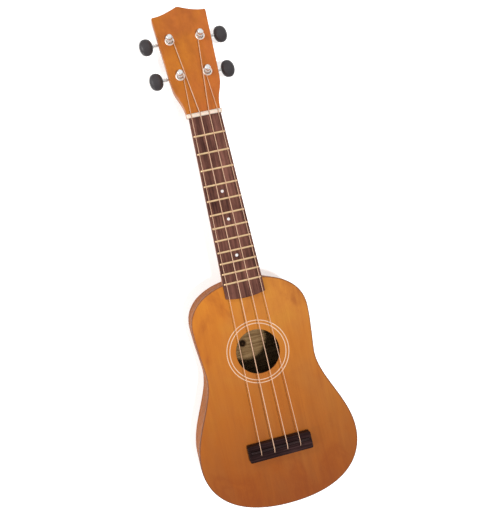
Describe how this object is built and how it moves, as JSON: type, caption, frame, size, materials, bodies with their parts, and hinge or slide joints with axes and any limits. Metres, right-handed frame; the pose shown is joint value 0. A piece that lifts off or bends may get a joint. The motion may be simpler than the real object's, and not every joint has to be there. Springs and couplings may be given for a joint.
{
  "type": "ukulele",
  "caption": "Small figure-eight wooden plucked instrument with fretted neck, round sound hole, dark bridge, nylon strings and geared tuners with dark oval buttons.",
  "frame": {"origin": "middle of the flat back, on its outer face", "axes": "+Z out of the soundboard, +Y from the tail towards the head, +X towards the treble side"},
  "size_m": [0.168, 0.5342, 0.0715],
  "materials": {
    "top_wood": "satin amber-brown stain over straight-grained laminated wood",
    "rib_wood": "satin reddish-brown stain",
    "neck_wood": "satin amber-brown stain",
    "inner_wood": "raw sanded pale wood",
    "dark_wood": "open-grained dark wood, oiled",
    "purfling": "pale inlay strip under satin finish",
    "nut_ivory": "ivory-coloured, polished",
    "fret_brass": "polished brass-coloured wire",
    "nylon": "clear nylon, slightly warm",
    "chrome": "bright chrome plate",
    "tuner_steel": "nickel-plated stamped sheet",
    "gear_brass": "cut brass, slightly greased",
    "button_plastic": "matte dark grey moulded plastic"
  },
  "bodies": {
    "body": {"soundboard": "top_wood", "back": "rib_wood", "side_bass": "rib_wood", "side_treble": "rib_wood", "lining_top": "inner_wood", "lining_back": "inner_wood", "neck_block": "inner_wood", "tail_block": "inner_wood", "top_brace_upper": "inner_wood", "top_brace_lower": "inner_wood", "back_brace_upper": "inner_wood", "back_brace_lower": "inner_wood", "bridge_plate": "inner_wood", "rosette_outer": "purfling", "rosette_inner": "purfling", "bridge": "dark_wood", "saddle": "dark_wood", "neck": "neck_wood", "fretboard": "dark_wood", "nut": "nut_ivory", "fret_01": "fret_brass", "fret_02": "fret_brass", "fret_03": "fret_brass", "fret_04": "fret_brass", "fret_05": "fret_brass", "fret_06": "fret_brass", "fret_07": "fret_brass", "fret_08": "fret_brass", "fret_09": "fret_brass", "fret_10": "fret_brass", "fret_11": "fret_brass", "fret_12": "fret_brass", "string_g": "nylon", "string_c": "nylon", "string_e": "nylon", "string_a": "nylon", "tuner_g_plate": "tuner_steel", "tuner_g_ferrule": "chrome", "tuner_c_plate": "tuner_steel", "tuner_c_ferrule": "chrome", "tuner_e_plate": "tuner_steel", "tuner_e_ferrule": "chrome", "tuner_a_plate": "tuner_steel", "tuner_a_ferrule": "chrome"},
    "tuner_g_button": {"tuner_g_worm_shaft": "chrome", "tuner_g_button": "button_plastic"},
    "tuner_g_post": {"tuner_g_gear": "gear_brass", "tuner_g_post": "chrome"},
    "tuner_c_button": {"tuner_c_worm_shaft": "chrome", "tuner_c_button": "button_plastic"},
    "tuner_c_post": {"tuner_c_gear": "gear_brass", "tuner_c_post": "chrome"},
    "tuner_e_button": {"tuner_e_worm_shaft": "chrome", "tuner_e_button": "button_plastic"},
    "tuner_e_post": {"tuner_e_gear": "gear_brass", "tuner_e_post": "chrome"},
    "tuner_a_button": {"tuner_a_worm_shaft": "chrome", "tuner_a_button": "button_plastic"},
    "tuner_a_post": {"tuner_a_gear": "gear_brass", "tuner_a_post": "chrome"}
  },
  "joints": [
    {"name": "tuner_g_button_turn", "type": "hinge", "parent": "body", "child": "tuner_g_button", "pos_m": [-0.0144, 0.34192, 0.0333], "axis": [-1, 0, 0], "continuous": true},
    {"name": "tuner_g_post_turn", "type": "hinge", "parent": "body", "child": "tuner_g_post", "pos_m": [-0.0144, 0.33885, 0.04987], "axis": [0, 0.2334, 0.9724], "continuous": true},
    {"name": "tuner_c_button_turn", "type": "hinge", "parent": "body", "child": "tuner_c_button", "pos_m": [-0.0163, 0.38217, 0.02363], "axis": [-1, 0, 0], "continuous": true},
    {"name": "tuner_c_post_turn", "type": "hinge", "parent": "body", "child": "tuner_c_post", "pos_m": [-0.0163, 0.37911, 0.0402], "axis": [0, 0.2334, 0.9724], "continuous": true},
    {"name": "tuner_e_button_turn", "type": "hinge", "parent": "body", "child": "tuner_e_button", "pos_m": [0.0163, 0.38217, 0.02363], "axis": [1, 0, 0], "continuous": true},
    {"name": "tuner_e_post_turn", "type": "hinge", "parent": "body", "child": "tuner_e_post", "pos_m": [0.0163, 0.37911, 0.0402], "axis": [0, 0.2334, 0.9724], "continuous": true},
    {"name": "tuner_a_button_turn", "type": "hinge", "parent": "body", "child": "tuner_a_button", "pos_m": [0.0144, 0.34192, 0.0333], "axis": [1, 0, 0], "continuous": true},
    {"name": "tuner_a_post_turn", "type": "hinge", "parent": "body", "child": "tuner_a_post", "pos_m": [0.0144, 0.33885, 0.04987], "axis": [0, 0.2334, 0.9724], "continuous": true}
  ],
  "couplings": [
    {"joint": "tuner_g_post_turn", "follows": "tuner_g_button_turn", "ratio": 0.071429},
    {"joint": "tuner_c_post_turn", "follows": "tuner_c_button_turn", "ratio": 0.071429},
    {"joint": "tuner_e_post_turn", "follows": "tuner_e_button_turn", "ratio": 0.071429},
    {"joint": "tuner_a_post_turn", "follows": "tuner_a_button_turn", "ratio": 0.071429}
  ]
}
